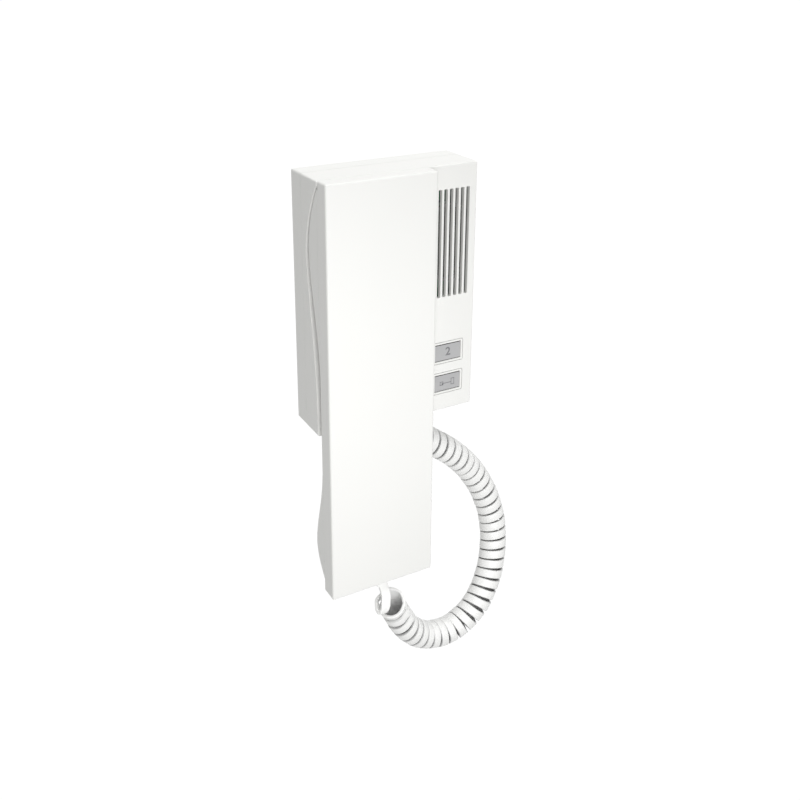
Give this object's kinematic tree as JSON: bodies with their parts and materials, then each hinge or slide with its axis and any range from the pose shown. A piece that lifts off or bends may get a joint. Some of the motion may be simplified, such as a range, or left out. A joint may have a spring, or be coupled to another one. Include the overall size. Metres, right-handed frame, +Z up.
{
  "type": "slimline wall phone",
  "caption": "Slim wall-mounted intercom phone: flat handset hung in front of a box-shaped base with a slotted call speaker, push keys and a coiled flat cord.",
  "frame": {"origin": "middle of the base's flat wall face, midway between its sides and midway between its top and bottom", "axes": "+X to the right seen from the front, +Y into the wall so that the fronts face -Y, +Z up"},
  "size_m": [0.1147, 0.0425, 0.2689],
  "materials": {
    "casing": "white, satin",
    "cord_sheath": "white, smooth",
    "label_grey": "light grey, matte",
    "lever_plastic": "natural white",
    "dark_plastic": "black, matte",
    "capsule_plastic": "dark grey, matte",
    "board": "green lacquer",
    "terminal_green": "green, matte",
    "cone_paper": "black paper",
    "foam": "black foam rubber",
    "pressed_steel": "plated",
    "screw_steel": "zinc plated"
  },
  "bodies": {
    "base": {"wall_plate": "casing", "base_housing": "casing", "housing_screw": "screw_steel", "circuit_board": "board", "board_screws": "screw_steel", "board_capacitors": "dark_plastic", "control_chip": "dark_plastic", "terminal_block": "terminal_green", "terminal_screws": "screw_steel", "speaker_gasket": "foam", "speaker_frame": "pressed_steel", "speaker_cone": "cone_paper", "speaker_magnet": "pressed_steel", "tact_switches": "dark_plastic", "hook_switch": "dark_plastic", "hook_lever_pin": "screw_steel", "hook_spring": "screw_steel", "base_cord_grommet": "cord_sheath", "cord_tail_base": "cord_sheath", "coiled_cord": "cord_sheath"},
    "hook_lever": {"hook_lever": "lever_plastic"},
    "upper_key": {"upper_key": "casing", "upper_key_label": "label_grey", "upper_key_plunger": "dark_plastic"},
    "door_key": {"door_key": "casing", "door_key_label": "label_grey", "door_key_plunger": "dark_plastic"},
    "handset": {"handset_cover": "casing", "handset_back": "casing", "handset_screws": "screw_steel", "receiver_gasket": "foam", "receiver_capsule": "capsule_plastic", "microphone_boot": "foam", "microphone_capsule": "pressed_steel", "handset_board": "board", "handset_cord_grommet": "cord_sheath", "cord_tail_handset": "cord_sheath"}
  },
  "joints": [
    {"name": "handset_lift", "type": "slide", "parent": "base", "child": "handset", "axis": [0, -0.866, 0.5], "range_m": [0, 0.09], "deforming": ["coiled_cord", "cord_tail_handset"]},
    {"name": "upper_key_press", "type": "slide", "parent": "base", "child": "upper_key", "axis": [0, 1, 0], "range_m": [0, 0.0008], "stiffness_N_per_m": 800, "springref_m": -0.001},
    {"name": "door_key_press", "type": "slide", "parent": "base", "child": "door_key", "axis": [0, 1, 0], "range_m": [0, 0.0008], "stiffness_N_per_m": 800, "springref_m": -0.001},
    {"name": "hook_lever_pivot", "type": "hinge", "parent": "base", "child": "hook_lever", "pos_m": [-0.01335, -0.013, -0.02], "axis": [-1, 0, 0], "range_deg": [0, 12], "deforming": ["hook_spring"]}
  ],
  "couplings": [
    {"joint": "hook_lever_pivot", "follows": "handset_lift", "rad_per_m": 2.3}
  ]
}
